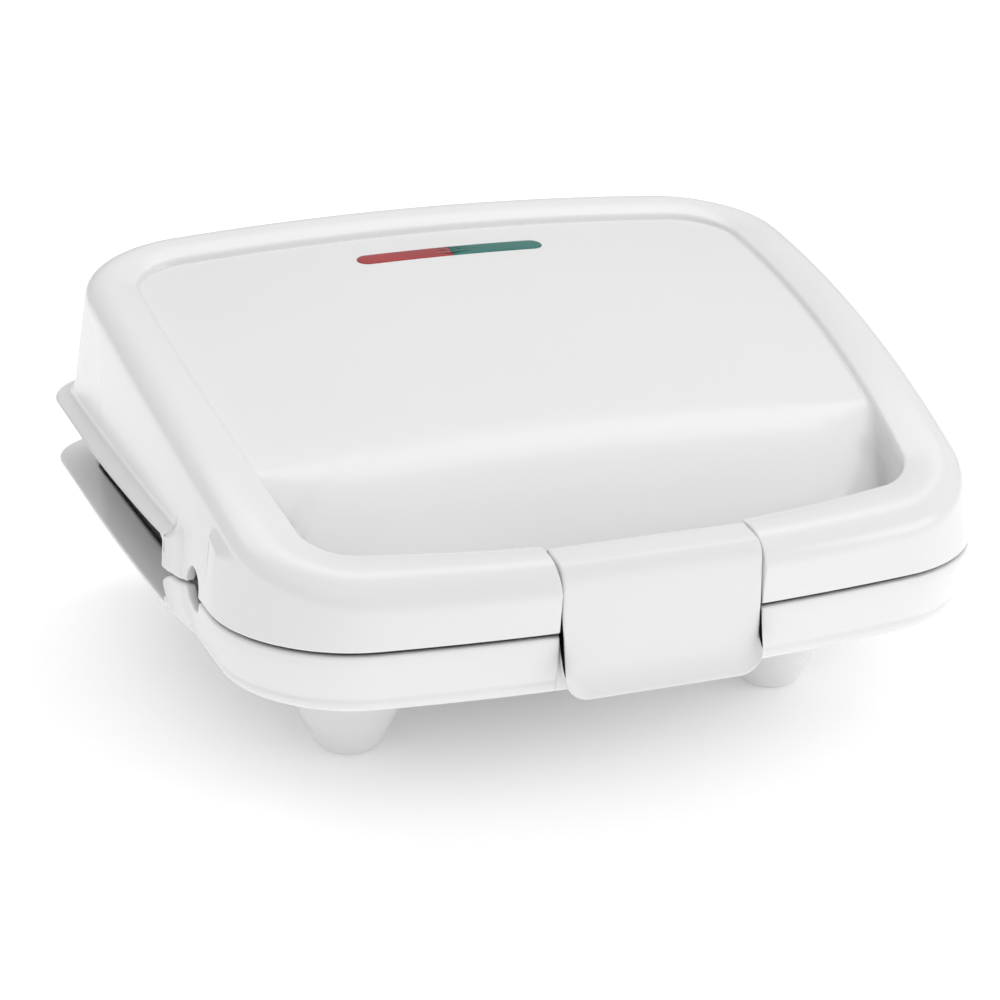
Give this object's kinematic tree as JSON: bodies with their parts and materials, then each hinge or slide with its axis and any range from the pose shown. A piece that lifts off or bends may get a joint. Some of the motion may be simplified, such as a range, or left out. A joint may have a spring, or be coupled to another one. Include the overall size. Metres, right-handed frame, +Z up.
{
  "type": "waffle maker",
  "caption": "Closed clamshell waffle maker with a sloping lid, finger well behind the front rim, front latch flap, two-colour indicator window and tapered round feet.",
  "frame": {"origin": "on the floor, under the middle of the body's plan box", "axes": "+Z up, +X to the right seen from the latch, -Y towards the latch"},
  "size_m": [0.2564, 0.2498, 0.1262],
  "materials": {
    "white_gloss": "moulded glossy white, very fine orange peel, soft reflections",
    "white_satin": "moulded satin white, fine texture",
    "nonstick_coating": "cast aluminium under a dark speckled non-stick coating",
    "steel": "bright sheet and turned steel",
    "element_sheath": "heat-tinted steel sheath",
    "red_lens": "translucent red plastic",
    "green_lens": "translucent blue-green plastic",
    "black_plastic": "matt black plastic",
    "ceramic": "unglazed ceramic",
    "lamp_glass": "clear neon bulb glass"
  },
  "bodies": {
    "base": {"lower_housing": "white_gloss", "foot_front_left": "white_gloss", "foot_screw_front_left": "steel", "foot_front_right": "white_gloss", "foot_screw_front_right": "steel", "foot_rear_left": "white_gloss", "foot_screw_rear_left": "steel", "foot_rear_right": "white_gloss", "foot_screw_rear_right": "steel", "lower_plate": "nonstick_coating", "lower_heating_element": "element_sheath", "lower_reflector": "steel", "thermostat": "steel", "thermal_fuse": "ceramic", "terminal_block": "ceramic", "cable_gland": "black_plastic", "hinge_pin_left": "steel", "hinge_pin_right": "steel"},
    "lid": {"upper_housing": "white_gloss", "upper_plate": "nonstick_coating", "upper_heating_element": "element_sheath", "upper_reflector": "steel", "indicator_lens_red": "red_lens", "indicator_lens_green": "green_lens", "lamp_holder": "black_plastic", "power_lamp": "lamp_glass", "ready_lamp": "lamp_glass", "latch_pin": "steel"},
    "latch": {"latch": "white_satin"}
  },
  "joints": [
    {"name": "lid_hinge", "type": "hinge", "parent": "base", "child": "lid", "pos_m": [0, 0.113, 0.0625], "axis": [-1, 0, 0], "range_deg": [0, 95]},
    {"name": "latch_hinge", "type": "hinge", "parent": "lid", "child": "latch", "pos_m": [0, -0.1075, 0.0769], "axis": [-1, 0, 0], "range_deg": [0, 70]}
  ]
}
